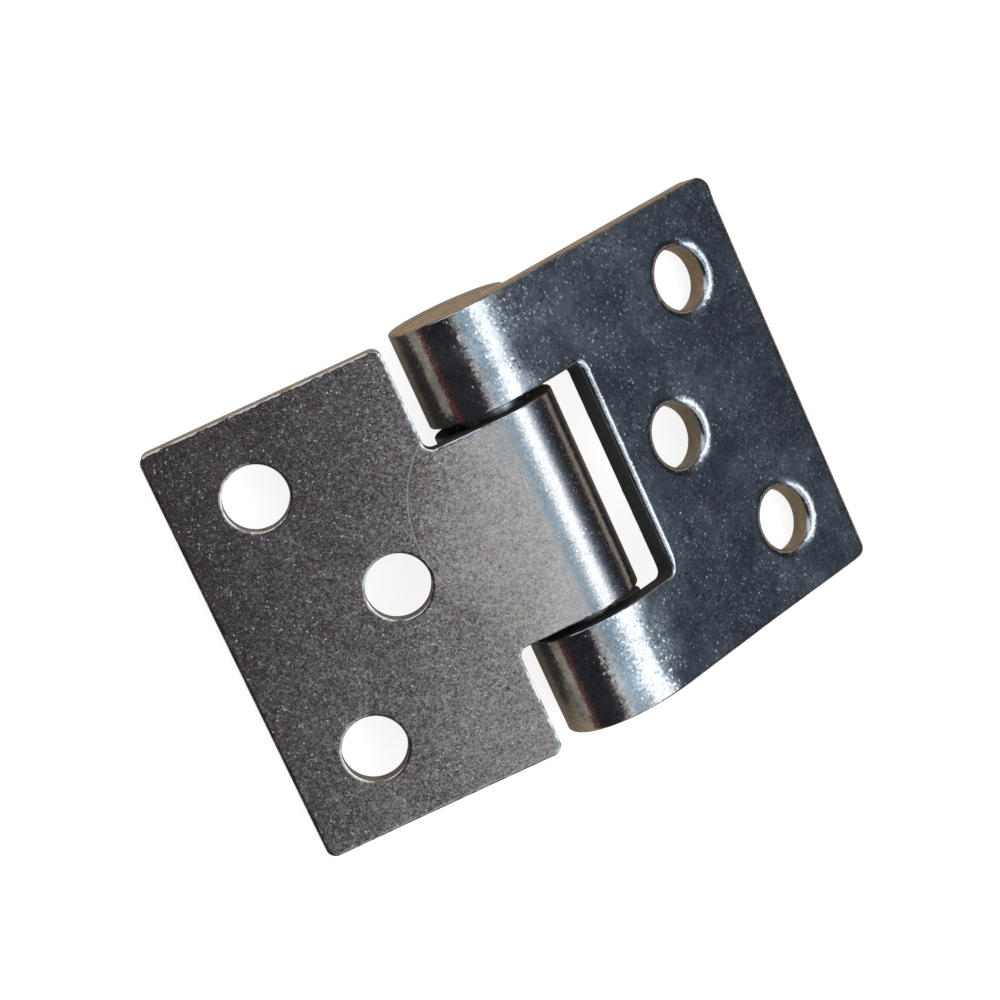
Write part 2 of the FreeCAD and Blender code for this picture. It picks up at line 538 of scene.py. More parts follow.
def grain_group() -> bpy.types.NodeTree:
    """Return the zinc grain: crystals of two sizes that each lean their own way and have their own tone.

    A crystal is a cell round a random point of a slightly stirred space. Its lean is its random colour
    less one half, times Lean. Flecks are soft spots round the points of a third set of cells, of which
    Fleck Share have one, in loose crowds; there the surface leans by Fleck Lean. Tone is the crystals'
    random brightness, Warmth the small crystals' random colour. Places are stretched along the pin.

    Returns:
        The group.
    """
    inputs = {"Place": ("NodeSocketVector", None)} | {name: ("NodeSocketFloat", 1.0) for name in GRAIN_INPUTS}
    kinds = ("Tone", "Warmth", "Fleck")
    outputs = {"Lean": "NodeSocketVector"} | {k: "NodeSocketFloat" for k in kinds}
    bench, got, leave = new_group("zinc_grain", inputs, outputs)
    shorter = bench.math("DIVIDE", 1.0, got["Stretch"])
    squeeze = bench.add("ShaderNodeCombineXYZ", {0: 1.0, 1: shorter, 2: 1.0}).outputs[0]
    place = bench.vector("MULTIPLY", got["Place"], squeeze)
    stir = bench.add("ShaderNodeTexNoise", {"Vector": place, "Scale": got["Scale"], "Detail": 1.0}).outputs[1]
    half = (0.5, 0.5, 0.5)
    stir = bench.scale(bench.vector("SUBTRACT", stir, half), bench.math("DIVIDE", 0.9, got["Scale"]))
    place = bench.vector("ADD", place, stir)
    leans, tones = [], []
    for size, share in CRYSTALS:
        scale = bench.math("MULTIPLY", got["Scale"], size)
        cell = bench.add("ShaderNodeTexVoronoi", {"Vector": place, "Scale": scale}).outputs["Color"]
        lean = bench.math("MULTIPLY", got["Lean"], share)
        leans.append(bench.scale(bench.vector("SUBTRACT", cell, half), lean))
        tones.append(bench.add("ShaderNodeSeparateColor", {0: cell}).outputs)
    scale = bench.math("DIVIDE", got["Scale"], got["Fleck Size"])
    spots = bench.add("ShaderNodeTexVoronoi", {"Vector": place, "Scale": scale}).outputs
    pick = bench.add("ShaderNodeSeparateColor", {0: spots["Color"]}).outputs[1]
    soft = bench.math("SUBTRACT", 1.0, bench.step(spots["Distance"], 0.1, 0.62))
    crowd = bench.step(bench.noise(place, bench.math("MULTIPLY", got["Scale"], 0.045), 2.0, 0.6), 0.34, 0.66)
    often = bench.math("MULTIPLY", got["Fleck Share"], bench.math("MULTIPLY_ADD", crowd, 1.8, 0.1))
    fleck = bench.math("MULTIPLY", bench.math("LESS_THAN", pick, often), soft)
    lean = bench.math("MULTIPLY", fleck, got["Fleck Lean"])
    tilt = bench.scale(bench.vector("SUBTRACT", spots["Color"], half), lean)
    bench.put(leave.inputs["Lean"], bench.vector("ADD", bench.vector("ADD", leans[0], leans[1]), tilt))
    small = bench.math("MULTIPLY", tones[1][2], 0.35)
    bench.put(leave.inputs["Tone"], bench.math("MULTIPLY_ADD", tones[0][0], 0.65, small))
    bench.put(leave.inputs["Warmth"], tones[1][0])
    bench.put(leave.inputs["Fleck"], fleck)
    return bench.tree


def needle_group() -> bpy.types.NodeTree:
    """Return short fine strokes in three directions: noise stretched along each, kept where it is highest.

    Returns:
        The group.
    """
    bench, got, leave = new_group(
        "fine_strokes",
        {"Sheet": ("NodeSocketVector", None), "Level": ("NodeSocketFloat", 0.7)},
        {"Mask": "NodeSocketFloat"},
    )
    masks = []
    for turn in STROKE_TURNS:
        values = {"Vector": got["Sheet"], "Angle": turn}
        turned = bench.add("ShaderNodeVectorRotate", values, rotation_type="Z_AXIS").outputs[0]
        drawn = bench.vector("MULTIPLY", turned, (6.5, 0.9, 1.0))
        masks.append(bench.rise(bench.noise(drawn, 1.0, 1.0, 0.4), got["Level"], 0.05))
    most = bench.math("MAXIMUM", bench.math("MAXIMUM", masks[0], masks[1]), masks[2])
    bench.put(leave.inputs["Mask"], most)
    return bench.tree


def shear_group() -> bpy.types.NodeTree:
    """Return the look of a sheared wall: fine upright scores over broad patches.

    Returns:
        The group.
    """
    bench, got, leave = new_group(
        "sheared_wall",
        {"Wall": ("NodeSocketVector", None), "Scores": ("NodeSocketFloat", 9.0)},
        {"Height": "NodeSocketFloat", "Tone": "NodeSocketFloat"},
    )
    scores = bench.vector("MULTIPLY", got["Wall"], (1.0, 0.12, 0.0))
    fine = bench.noise(scores, got["Scores"], 3.0, 0.6)
    broad = bench.noise(bench.vector("MULTIPLY", got["Wall"], (0.35, 0.5, 0.0)), 1.0, 2.0, 0.5)
    bench.put(leave.inputs["Height"], fine)
    bench.put(leave.inputs["Tone"], bench.math("MULTIPLY_ADD", fine, 0.5, bench.math("MULTIPLY", broad, 0.5)))
    return bench.tree


@dataclass(frozen=True)
class Scratch:
    """A scratch in the outer skin: an arc of a circle in the flat pattern.

    Args:
        centre: place (s, y) of the circle's centre.
        radius: of the circle.
        width: of the scratch.
        span: the places y between which it runs.
        taper: length over which it starts and ends.
    """

    centre: tuple[float, float]
    radius: float
    width: float
    span: tuple[float, float]
    taper: float = 0.8

    def mask(self, bench: Bench, sheet: Signal, breaks: Signal) -> Socket:
        """Return its mask: near the circle, between both ends, and broken up by the given noise.

        Args:
            bench: to add the nodes to.
            sheet: places in the flat pattern.
            breaks: what is left of the scratch at each place.

        Returns:
            The mask.
        """
        flat = bench.vector("MULTIPLY", sheet, (1.0, 1.0, 0.0))
        values = {0: flat, 1: (*self.centre, 0.0)}
        away = bench.add("ShaderNodeVectorMath", values, operation="DISTANCE").outputs["Value"]
        near = bench.math("ABSOLUTE", bench.math("SUBTRACT", away, self.radius))
        line = bench.math("SUBTRACT", 1.0, bench.math("DIVIDE", near, self.width), clamp=True)
        y = bench.add("ShaderNodeSeparateXYZ", {0: sheet}).outputs[1]
        before_end = bench.math("SUBTRACT", 1.0, bench.rise(y, self.span[1], self.taper))
        ends = bench.math("MULTIPLY", bench.rise(y, self.span[0], self.taper), before_end)
        return bench.math("MULTIPLY", bench.math("MULTIPLY", line, ends), breaks)


@dataclass(frozen=True)
class ZincFinish:
    """Zinc-plated steel with its crystals, flecks, scratches and sheared walls.

    Args:
        slot: the record's material slot.
        skin: colour of the plated skins.
        cool: colour of their cooler crystals.
        fleck: colour of the flecks and scratches.
        wall: colour of the sheared walls.
        joint_shade: painted shade, the dark colour of the walls inside the joint, where little light reaches.
        rough: roughness of the skins.
        grain: scale, lean, fleck size, fleck share, fleck lean and stretch along the pin.
        tone: how much the crystals differ in brightness.
        mottle: scale and strength of the cloudy mottle.
        strokes: level above which the fine strokes show.
        scratches: the scratches that someone left in it.
    """

    slot: str
    skin: tuple[float, float, float]
    cool: tuple[float, float, float]
    fleck: tuple[float, float, float]
    wall: tuple[float, float, float]
    # Painted shade: the dark colour that stands in for the shade on the walls inside the joint
    joint_shade: tuple[float, float, float]
    rough: float
    grain: tuple[float, float, float, float, float, float]
    tone: float
    mottle: tuple[float, float]
    strokes: float = 0.7
    scratches: tuple[Scratch, ...] = ()

    # Between which numbers a place is wall, and lies inside the joint, where its walls get painted shade, by
    # its s and its y
    WALL, JOINT_S, JOINT_Y = (0.72, 0.98), (13.0, 11.8), (16.9, 16.4)
    # How much of their colour flecks and marks show, and how dark a sheared wall's scores are
    FLECK_COLOUR, MARK_COLOUR, SCORE_DARK = 0.6, 0.7, 0.6
    # What clouds, marks and walls add to the roughness
    CLOUD_ROUGH, MARK_ROUGH, WALL_ROUGH = 0.11, 0.22, 0.55
    # Depth of the scores in millimetres, share of the crystals' lean that walls keep, and skins beyond it
    SCORE_DEPTH, WALL_LEAN, SKIN_LEAN = 0.01, 0.2, 0.8

    def make(self, groups: dict[str, bpy.types.NodeTree]) -> bpy.types.Material:
        """Make the finish's material.

        Args:
            groups: the shared groups by name.

        Returns:
            The material.
        """
        material = bpy.data.materials.new(self.slot + "_finish")
        material.use_nodes = True
        bench = Bench(material.node_tree)
        shader = material.node_tree.nodes["Principled BSDF"]
        place = bench.add("ShaderNodeTexCoord").outputs["Object"]
        wall, sheet = (
            bench.add("ShaderNodeAttribute", attribute_name=name, attribute_type="GEOMETRY").outputs["Vector"]
            for name in ("cut_wall", "sheet_place")
        )
        share = bench.step(bench.add("ShaderNodeSeparateXYZ", {0: wall}).outputs[2], *self.WALL)
        skin_share = bench.math("SUBTRACT", 1.0, share)
        grains = bench.add("ShaderNodeGroup", {"Place": place}, node_tree=groups["grain"])
        for name, number in zip(GRAIN_INPUTS, self.grain):
            grains.inputs[name].default_value = number
        values = {"Sheet": sheet, "Level": self.strokes}
        strokes = bench.add("ShaderNodeGroup", values, node_tree=groups["needles"]).outputs[0]
        walls = bench.add("ShaderNodeGroup", {"Wall": wall}, node_tree=groups["shear"])
        cloud = bench.noise(place, self.mottle[0], 5.0, 0.64)
        marks = strokes
        for scratch in self.scratches:
            breaks = bench.step(bench.noise(sheet, 1.6, 2.0, 0.6), 0.2, 0.42)
            marks = bench.math("MAXIMUM", marks, scratch.mask(bench, sheet, breaks))
        tone = bench.math("MULTIPLY_ADD", bench.math("SUBTRACT", grains.outputs["Tone"], 0.5), self.tone, 1.0)
        clouds = bench.math("MULTIPLY_ADD", cloud, self.mottle[1], 1.0 - self.mottle[1] / 2)
        tone = bench.math("MULTIPLY", tone, clouds)
        skin = bench.scale(bench.mix(grains.outputs["Warmth"], (*self.skin, 1.0), (*self.cool, 1.0)), tone)
        for spread, colour in ((grains.outputs["Fleck"], self.FLECK_COLOUR), (marks, self.MARK_COLOUR)):
            skin = bench.mix(bench.math("MULTIPLY", spread, colour), skin, (*self.fleck, 1.0))
        dark = tuple(self.SCORE_DARK * c for c in self.wall)
        edge = bench.mix(bench.step(walls.outputs["Tone"], 0.3, 0.7), (*dark, 1.0), (*self.wall, 1.0))
        # Painted shade: walls inside the joint, where little light reaches, take the dark joint colour
        spot = bench.add("ShaderNodeSeparateXYZ", {0: sheet}).outputs
        beside = bench.step(bench.math("ABSOLUTE", spot[1]), *self.JOINT_Y)
        inside = bench.math("MULTIPLY", bench.step(spot[0], *self.JOINT_S), beside)
        edge = bench.mix(inside, edge, (*self.joint_shade, 1.0))
        bench.put(shader.inputs["Base Color"], bench.mix(share, skin, edge))
        rough = bench.math("MULTIPLY_ADD", cloud, self.CLOUD_ROUGH * self.mottle[1], self.rough)
        rough = bench.math("MULTIPLY_ADD", marks, self.MARK_ROUGH, rough)
        bench.put(shader.inputs["Roughness"], bench.math("MULTIPLY_ADD", share, self.WALL_ROUGH, rough))
        shader.inputs["Metallic"].default_value = 1.0
        scores = bench.math("MULTIPLY", walls.outputs["Height"], share)
        groove = bench.math("MULTIPLY_ADD", marks, -0.5, scores)
        values = {"Height": groove, "Distance": self.SCORE_DEPTH * MM, "Strength": 1.0}
        bump = bench.add("ShaderNodeBump", values)
        kept = bench.math("MULTIPLY_ADD", skin_share, self.SKIN_LEAN, self.WALL_LEAN)
        lean = bench.scale(grains.outputs["Lean"], kept)
        leaning = bench.vector("ADD", bump.outputs[0], lean)
        bench.put(shader.inputs["Normal"], bench.vector("NORMALIZE", leaning))
        return material


# The hinge's pieces


@dataclass(frozen=True)
class Settling:
    """How the outer skin strays from a true cylinder and plane where the knuckle runs into the leaf.

    The slope of the stray rises evenly from the start to its peak at the top and falls evenly to the
    end. The stray itself is its integral, less the depth at the start, and fades out on both sides.

    Args:
        start: place s where the slope begins.
        top: place of its peak.
        end: place where it ends.
        peak: its peak, in degrees.
        sunk: how far inside the cylinder the skin is at the start.
        fade_in: length of the fade round the knuckle.
        fade_out: length of the fade on the leaf.
    """

    start: float
    top: float
    end: float
    peak: float
    sunk: float
    fade_in: float = 8.5
    fade_out: float = 40.0

    # Number of places on the run and on each fade
    RUN, FADE = 400, 30

    def stray(self, s: np.ndarray) -> np.ndarray:
        """Return how far the outer skin strays outwards.

        Args:
            s: places across the leaf.

        Returns:
            The stray at each of them.
        """
        run = np.linspace(self.start, self.end, self.RUN)
        slope = np.interp(run, [self.start, self.top, self.end], [0.0, self.peak, 0.0])
        rise = np.cumsum(np.tan(np.radians(slope))) * (run[1] - run[0])
        rise -= self.sunk
        grow, fall = np.linspace(0, 1, self.FADE), np.linspace(1, 0, self.FADE)
        into = self.start - self.fade_in * fall[:-1]
        away = self.end + self.fade_out * grow[1:]
        ease = 0.5 - 0.5 * np.cos(math.pi * grow)
        places = np.concatenate([into, run, away])
        values = np.concatenate([rise[0] * ease[:-1], rise, rise[-1] * fall[1:]])
        return np.interp(s, places, values, 0.0, 0.0)


@dataclass
class Leaf:
    """A leaf of the hinge: one sheet with its screw holes, rolled round the pin.

    Args:
        node: the CAD node that the leaf stands for.
        body: the body it moves with.
        finish: its zinc finish.
        bore: radius of its knuckles' bore.
        turn: which way it lies from the pin.
        tilt: angle below level at which it lies.
        hole_face: form of the holes' edge at the outer skin.
        hole_back: form of the holes' edge at the inner skin.
        seed: for the wander of its cut edges.
        settling: how the bend settled at the low and at the high end of the pin.
    """

    node: str
    body: str
    finish: ZincFinish
    bore: float
    turn: Turn
    tilt: float
    hole_face: EdgeForm
    hole_back: EdgeForm
    seed: int
    settling: tuple[Settling, Settling]

    # The curl's gap, the holes, and the radii of the leaf's, the notches' and the curl's corners
    END_GAP = 0.8
    HOLE_RADIUS = 4.5
    HOLE_FROM_EDGE = 11.8
    MIDDLE_HOLE = 21.2
    HOLE_SPACING = 37.4
    CORNER = 1.4
    RELIEF_CORNER = 1.3
    CURL_CORNER = 0.8
    # Beyond this place s the whole sheet follows the stray of its outer skin
    WHOLE_FROM = 6.0
    # The mesh: steps along the outline and how many blend, sides of a hole, and the grid on the curls
    STEP = 0.5
    BLEND = 4
    HOLE_SIDES = 72
    ROW = 0.6
    LAST_ROW = 1.6
    COLUMN = 2.1
    MARGIN = 0.95

    def outside(self) -> float:
        """Return the radius of the knuckles' outer skin."""
        return self.bore + SHEET

    def curl_run(self) -> float:
        """Return the developed length of the curl on its outer skin."""
        tip = math.asin((self.bore - self.END_GAP) / self.outside())
        return self.outside() * (1.5 * math.pi + tip)

    def corners(self) -> list[Corner]:
        """Return the corners of the outline, run with the metal on its left."""
        raise NotImplementedError

    def knuckles(self) -> list[tuple[float, float]]:
        """Return the low and high end of each knuckle along the pin."""
        raise NotImplementedError

    def holes(self) -> list[tuple[float, float]]:
        """Return the places of the screw holes."""
        far = LEAF_REACH - self.HOLE_FROM_EDGE
        return [(far, self.HOLE_SPACING / 2), (self.MIDDLE_HOLE, 0.0), (far, -self.HOLE_SPACING / 2)]

    def grid(self) -> np.ndarray:
        """Return the places that divide the curls: rows along the pin, a short step apart round it.

        Returns:
            N by 2 places (s, y).
        """
        rows = np.arange(-self.curl_run() + self.MARGIN, self.LAST_ROW, self.ROW)
        found = []
        for low, high in self.knuckles():
            count = max(2, round((high - low - 2 * self.MARGIN) / self.COLUMN) + 1)
            s, y = np.meshgrid(rows, np.linspace(low + self.MARGIN, high - self.MARGIN, count), indexing="ij")
            found.append(np.stack([s.ravel(), y.ravel()], 1))
        return np.concatenate(found)

    def bend(self, place: np.ndarray) -> np.ndarray:
        """Return the leaf at rest from its flat pattern.

        At s > 0 a place is (s, outside - depth) from the pin axis. Below zero it is turned about the
        axis by the angle s / outside. The stray of the outer skin is added to the radius, less towards
        the inner skin near the knuckle. The leaf is then tilted down, turned and lifted to the pin.

        Args:
            place: N by 3 numbers (s, y, depth).

        Returns:
            N by 3 places in the shared frame.
        """
        s, y, depth = place[:, 0], place[:, 1], place[:, 2]
        share = np.clip(0.5 + y / OuterLeaf.SLOT, 0, 1)
        low, high = (part.stray(s) for part in self.settling)
        gone = np.clip(s / self.WHOLE_FROM, 0, 1)
        firm = 1 - gone ** 2 * (3 - 2 * gone)
        radius = self.outside() - depth + (low * (1 - share) + high * share) * (1 - firm * depth / SHEET)
        angle = np.minimum(s, 0) / self.outside()
        u = np.maximum(s, 0) + radius * np.sin(angle)
        n = radius * np.cos(angle)
        a, side = math.radians(self.tilt), self.turn.value
        x = side * (u * math.cos(a) + n * math.sin(a))
        return np.stack([x, side * y, -u * math.sin(a) + n * math.cos(a) + PIN_HEIGHT], 1)

    def build(self, material: bpy.types.Material) -> bpy.types.Object:
        """Make the leaf, which rides on its body and stands for its CAD node.

        Args:
            material: to dress it in.

        Returns:
            Its object.
        """
        contours = [outline_contour(self.corners(), self.STEP, self.BLEND)]
        contours += [
            hole_contour(s, y, self.HOLE_RADIUS, self.hole_face, self.hole_back, self.HOLE_SIDES)
            for s, y in self.holes()
        ]
        pattern = sheet_pattern(contours, Section(), self.grid(), self.seed)
        made = make_object(self.node + "_skin", self.bend(pattern.place), pattern.faces,
                           {"cut_wall": pattern.wall, "sheet_place": pattern.place})
        made.data.materials.append(material)
        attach(made, self.body)
        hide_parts(self.node)
        log.info("%s: %d faces", made.name, len(made.data.polygons))
        return made


@dataclass
class CentreLeaf(Leaf):
    """The leaf with one wide knuckle between two notches, punched from its inner skin."""

    KNUCKLE = 29.4
    TAB_EDGE = 10.4

    def corners(self) -> list[Corner]:
        """Return the outline: from the curl's end round the tabs and the free edge.

        Returns:
            Its corners in order.
        """
        burr = EdgeForm(0.24, 0.13, 0.8, 0.35)
        rolled = EdgeForm(0.4, 0.4)
        half, wide, run, tab = self.KNUCKLE / 2, HINGE_LENGTH / 2, self.curl_run(), self.TAB_EDGE
        plan = [
            (-run, -half, self.CURL_CORNER), (tab, -half, self.RELIEF_CORNER), (tab, -wide, self.CORNER),
            (LEAF_REACH, -wide, self.CORNER), (LEAF_REACH, wide, self.CORNER), (tab, wide, self.CORNER),
            (tab, half, self.RELIEF_CORNER), (-run, half, self.CURL_CORNER),
        ]
        return [Corner(s, y, radius, burr, rolled) for s, y, radius in plan]

    def knuckles(self) -> list[tuple[float, float]]:
        """Return the one wide knuckle."""
        return [(-self.KNUCKLE / 2, self.KNUCKLE / 2)]


@dataclass
class OuterLeaf(Leaf):
    """The leaf with two end knuckles beside a wide slot, punched from its outer skin."""

    SLOT = 32.0
    SLOT_EDGE = 10.45
    FAR_CORNER = 2.4

    def corners(self) -> list[Corner]:
        """Return the outline: from the low knuckle's curl round the leaf and back through the slot.

        Returns:
            Its corners in order.
        """
        rolled, crisp = EdgeForm(1.0, 0.7), EdgeForm(0.3, 0.28, 0.2, 0.15)
        torn = EdgeForm(0.14, 0.12, 0.5, 0.3)
        half, wide, run, slot = self.SLOT / 2, HINGE_LENGTH / 2, self.curl_run(), self.SLOT_EDGE
        curl, relief = self.CURL_CORNER, self.RELIEF_CORNER
        plan = [
            (-run, -wide, curl, crisp), (LEAF_REACH, -wide, self.CORNER, rolled),
            (LEAF_REACH, wide, self.FAR_CORNER, crisp), (-run, wide, curl, crisp),
            (-run, half, curl, crisp), (slot, half, relief, rolled),
            (slot, -half, relief, crisp), (-run, -half, curl, crisp),
        ]
        return [Corner(s, y, radius, outer, torn) for s, y, radius, outer in plan]

    def knuckles(self) -> list[tuple[float, float]]:
        """Return the two end knuckles."""
        half, wide = self.SLOT / 2, HINGE_LENGTH / 2
        return [(-wide, -half), (half, wide)]


@dataclass
class Pin:
    """The plain pin through all the knuckles.

    Args:
        node: the CAD node that it stands for.
        body: the body it moves with.
        finish: its finish.
        recess: how far each end stays inside the knuckles.
        chamfer: of both ends.
        sides: number of sides round it.
    """

    node: str
    body: str
    finish: ZincFinish
    recess: float = 0.06
    chamfer: float = 0.12
    sides: int = 128

    # Radii of the rings on each end face, and number of rings on the body and on each chamfer
    FACE_RINGS, BODY_RINGS, CHAMFER_RINGS = (0.6, 1.6, 2.8, 3.9), 24, 5

    def build(self, material: bpy.types.Material) -> bpy.types.Object:
        """Make the pin: its half section (radius, y) turned about the pin axis and closed at both poles.

        Args:
            material: to dress it in.

        Returns:
            Its object.
        """
        end = HINGE_LENGTH / 2 - self.recess
        round_off = np.linspace(0, math.pi / 2, self.CHAMFER_RINGS)
        edge_r = PIN_RADIUS - self.chamfer + self.chamfer * np.sin(round_off)
        edge_y = end - self.chamfer + self.chamfer * np.cos(round_off)
        face_r = np.array(self.FACE_RINGS)
        body_y = np.linspace(end - self.chamfer, -(end - self.chamfer), self.BODY_RINGS)[1:-1]
        body_r, face_y = np.full(len(body_y), PIN_RADIUS), np.full(len(face_r), end)
        radius = np.concatenate([face_r, edge_r, body_r, edge_r[::-1], face_r[::-1]])
        y = np.concatenate([face_y, edge_y, body_y, -edge_y[::-1], -face_y])
        t = np.linspace(0, 2 * math.pi, self.sides, endpoint=False)
        rings = np.stack([
            radius[:, None] * np.sin(t), np.broadcast_to(y[:, None], (len(y), self.sides)),
            radius[:, None] * np.cos(t) + PIN_HEIGHT,
        ], 2)
        count = len(y) * self.sides
        vertices = np.concatenate([rings.reshape(-1, 3), [[0, end, PIN_HEIGHT], [0, -end, PIN_HEIGHT]]])
        number = np.arange(count).reshape(len(y), self.sides)
        faces, after = ring_faces(number), np.roll(number, -1, 1)
        faces += np.stack([np.full(self.sides, count), number[0], after[0]], 1).tolist()
        faces += np.stack([np.full(self.sides, count + 1), after[-1], number[-1]], 1).tolist()
        on_face = np.abs(vertices[:, 1]) > end - self.chamfer / 2
        paint = np.stack([vertices[:, 0], vertices[:, 2], on_face.astype(float)], 1)
        made = make_object(self.node + "_skin", vertices, faces, {"cut_wall": paint, "sheet_place": vertices})
        made.data.materials.append(material)
        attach(made, self.body)
        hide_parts(self.node)
        log.info("%s: %d faces", made.name, len(made.data.polygons))
        return made


# The studio


@dataclass(frozen=True)
class Card:
    """A card or window of the light tent, by the directions it fills.

    Args:
        across: its two edges, as angles from the zenith towards +X.
        soft: how far each of those edges fades.
        along: its two edges as angles from the zenith towards +Y.
        along_soft: how far those fade.
        light: its colour and strength.
        slant: how far its edges across lean for each degree along.
    """

    across: tuple[float, float]
    soft: tuple[float, float]
    along: tuple[float, float]
    along_soft: float
    light: tuple[float, float, float]
    slant: float = 0.0


def bare_material(name: str) -> tuple[bpy.types.Material, Bench]:
    """Make a material without any nodes.

    Args:
        name: of the material.

    Returns:
        The material and a bench for its tree.
    """
    material = bpy.data.materials.new(name)
    material.use_nodes = True
    material.node_tree.nodes.clear()
    return material, Bench(material.node_tree)


@dataclass
class Studio:
    """The pale floor, the light tent over it and the camera.

    Args:
        cards: the tent's cards and windows.
        room: the light of the tent between them.
        tent_radius: of the tent, in metres.
        floor_half: half the side of the floor, in metres.
        lean_from: the angle along from which slanted cards lean.
        board: the warm colour that the metal sees under itself.
        under_shade: how much darker it is under the centre leaf, a painted shadow in the colour that all but
            camera rays see.
        floor_paint: colour of the floor to the camera.
        floor_glow: how brightly the floor shows to the camera by itself.
        floor_glow_in_metal: the same in reflections.
        lens: focal length of the camera.
        film: width of its frame.
        place: of the camera.
        aim: a point on its axis.
        up: its upward direction.
    """

    cards: tuple[Card, ...]
    room: tuple[float, float, float] = (0.026, 0.026, 0.031)
    tent_radius: float = 1.4
    floor_half: float = 6.0
    lean_from: float = 11.0
    board: tuple[float, float, float] = (0.62, 0.44, 0.27)
    under_shade: float = 0.88
    floor_paint: tuple[float, float, float] = (0.72, 0.71, 0.70)
    floor_glow: float = 0.86
    floor_glow_in_metal: float = 0.03
    lens: float = 95.617
    film: float = 36.0
    place: tuple[float, float, float] = (-117.8246, 69.5760, 341.7837)
    aim: tuple[float, float, float] = (-4.2450, 3.4656, 8.55)
    up: tuple[float, float, float] = (0.44886847, 0.89326945, -0.02422349)

    # Height of the floor in millimetres, and nearest and farthest that the camera sees, in metres
    FLOOR_HEIGHT, NEAREST, FARTHEST = -0.02, 0.01, 50.0
    # Where the painted shadow makes it darker under the centre leaf, in metres: from and to its -x, and up to
    # its y either way
    SHADE_FROM, SHADE_TO, SHADE_BESIDE = (0.0115, 0.0165), (0.048, 0.038), (0.033, 0.027)
    # Rings and sides of the tent, and the angle at which it starts
    TENT_RINGS, TENT_SIDES, TENT_START = 40, 96, -0.02

    def camera(self) -> None:
        """Make the camera and look through it."""
        data = bpy.data.cameras.new("camera")
        data.lens, data.sensor_width, data.sensor_fit = self.lens, self.film, "HORIZONTAL"
        data.clip_start, data.clip_end = self.NEAREST, self.FARTHEST
        made = bpy.data.objects.new("camera", data)
        back = (Vector(self.place) - Vector(self.aim)).normalized()
        right = Vector(self.up).cross(back).normalized()
        turned = Matrix((right, back.cross(right), back)).transposed().to_4x4()
        made.matrix_world = Matrix.Translation(Vector(self.place) * MM) @ turned
        bpy.context.scene.collection.objects.link(made)
        bpy.context.scene.camera = made

    def floor(self) -> None:
        """Lay the pale floor, which shows white and keeps the hinge's shadow."""
        h, z = self.floor_half / MM, self.FLOOR_HEIGHT
        corners = np.array([(-h, -h, z), (h, -h, z), (h, h, z), (-h, h, z)])
        made = make_object("floor", corners, [[0, 1, 2, 3]], {})
        material, bench = bare_material("pale_floor")
        path = bench.add("ShaderNodeLightPath").outputs
        in_metal = bench.math("ADD", path["Is Glossy Ray"], path["Is Transmission Ray"], clamp=True)
        strength = bench.math("MULTIPLY", in_metal, self.floor_glow_in_metal)
        strength = bench.math("MULTIPLY_ADD", path["Is Camera Ray"], self.floor_glow, strength)
        # Painted shadow: the colour that all but camera rays see is made darker under the centre leaf
        place = bench.add("ShaderNodeTexCoord").outputs["Object"]
        spot = bench.add("ShaderNodeSeparateXYZ", {0: place}).outputs
        aside, along = bench.math("MULTIPLY", spot[0], -1.0), bench.math("ABSOLUTE", spot[1])
        under = bench.math("MULTIPLY", bench.step(aside, *self.SHADE_FROM), bench.step(aside, *self.SHADE_TO))
        under = bench.math("MULTIPLY", under, bench.step(along, *self.SHADE_BESIDE))
        shaded = bench.math("MULTIPLY_ADD", under, -self.under_shade, 1.0)
        board = bench.mix(path["Is Camera Ray"], bench.scale(self.board, shaded), (*self.floor_paint, 1.0))
        lit = bench.add("ShaderNodeBsdfDiffuse", {"Color": board}).outputs[0]
        values = {"Color": (1.0, 1.0, 1.0, 1.0), "Strength": strength}
        glow = bench.add("ShaderNodeEmission", values).outputs[0]
        both = bench.add("ShaderNodeAddShader", {0: lit, 1: glow}).outputs[0]
        bench.add("ShaderNodeOutputMaterial", {"Surface": both})
        made.data.materials.append(material)

    def tent(self) -> None:
        """Hang the light tent: a half sphere whose inside glows by direction."""
        rise = np.linspace(self.TENT_START, math.pi / 2, self.TENT_RINGS)
        turn = np.linspace(0, 2 * math.pi, self.TENT_SIDES, endpoint=False)
        radius = self.tent_radius / MM
        ring = np.stack([
            radius * np.cos(rise)[:, None] * np.cos(turn), radius * np.cos(rise)[:, None] * np.sin(turn),
            np.broadcast_to(radius * np.sin(rise)[:, None], (len(rise), len(turn))),
        ], 2)
        number = np.arange(ring.shape[0] * ring.shape[1]).reshape(ring.shape[:2])
        made = make_object("light_tent", ring.reshape(-1, 3), ring_faces(number), {})
        made.visible_camera = False
        material, bench = bare_material("tent_light")
        material.cycles.emission_sampling = "NONE"
        place = bench.vector("NORMALIZE", bench.add("ShaderNodeTexCoord").outputs["Object"])
        xyz = bench.add("ShaderNodeSeparateXYZ", {0: place}).outputs
        degrees = 180 / math.pi
        across = bench.math("MULTIPLY", bench.math("ARCTAN2", xyz[0], xyz[2]), degrees)
        along = bench.math("MULTIPLY", bench.math("ARCSINE", xyz[1]), degrees)
        total = bench.add("ShaderNodeCombineColor", dict(enumerate(self.room))).outputs[0]
        for card in self.cards:
            leant = bench.math("MULTIPLY_ADD", bench.math("ADD", along, self.lean_from), -card.slant, across)
            masks = [
                bench.step(leant, card.across[0] - card.soft[0], card.across[0] + card.soft[0]),
                bench.step(leant, card.across[1] + card.soft[1], card.across[1] - card.soft[1]),
                bench.step(along, card.along[0] - card.along_soft, card.along[0] + card.along_soft),
                bench.step(along, card.along[1] + card.along_soft, card.along[1] - card.along_soft),
            ]
            mask = masks[0]
            for other in masks[1:]:
                mask = bench.math("MULTIPLY", mask, other)
            total = bench.mix(mask, total, (*card.light, 1.0))
        glow = bench.add("ShaderNodeEmission", {"Color": total, "Strength": 1.0}).outputs[0]
        bench.add("ShaderNodeOutputMaterial", {"Surface": glow})
        made.data.materials.append(material)

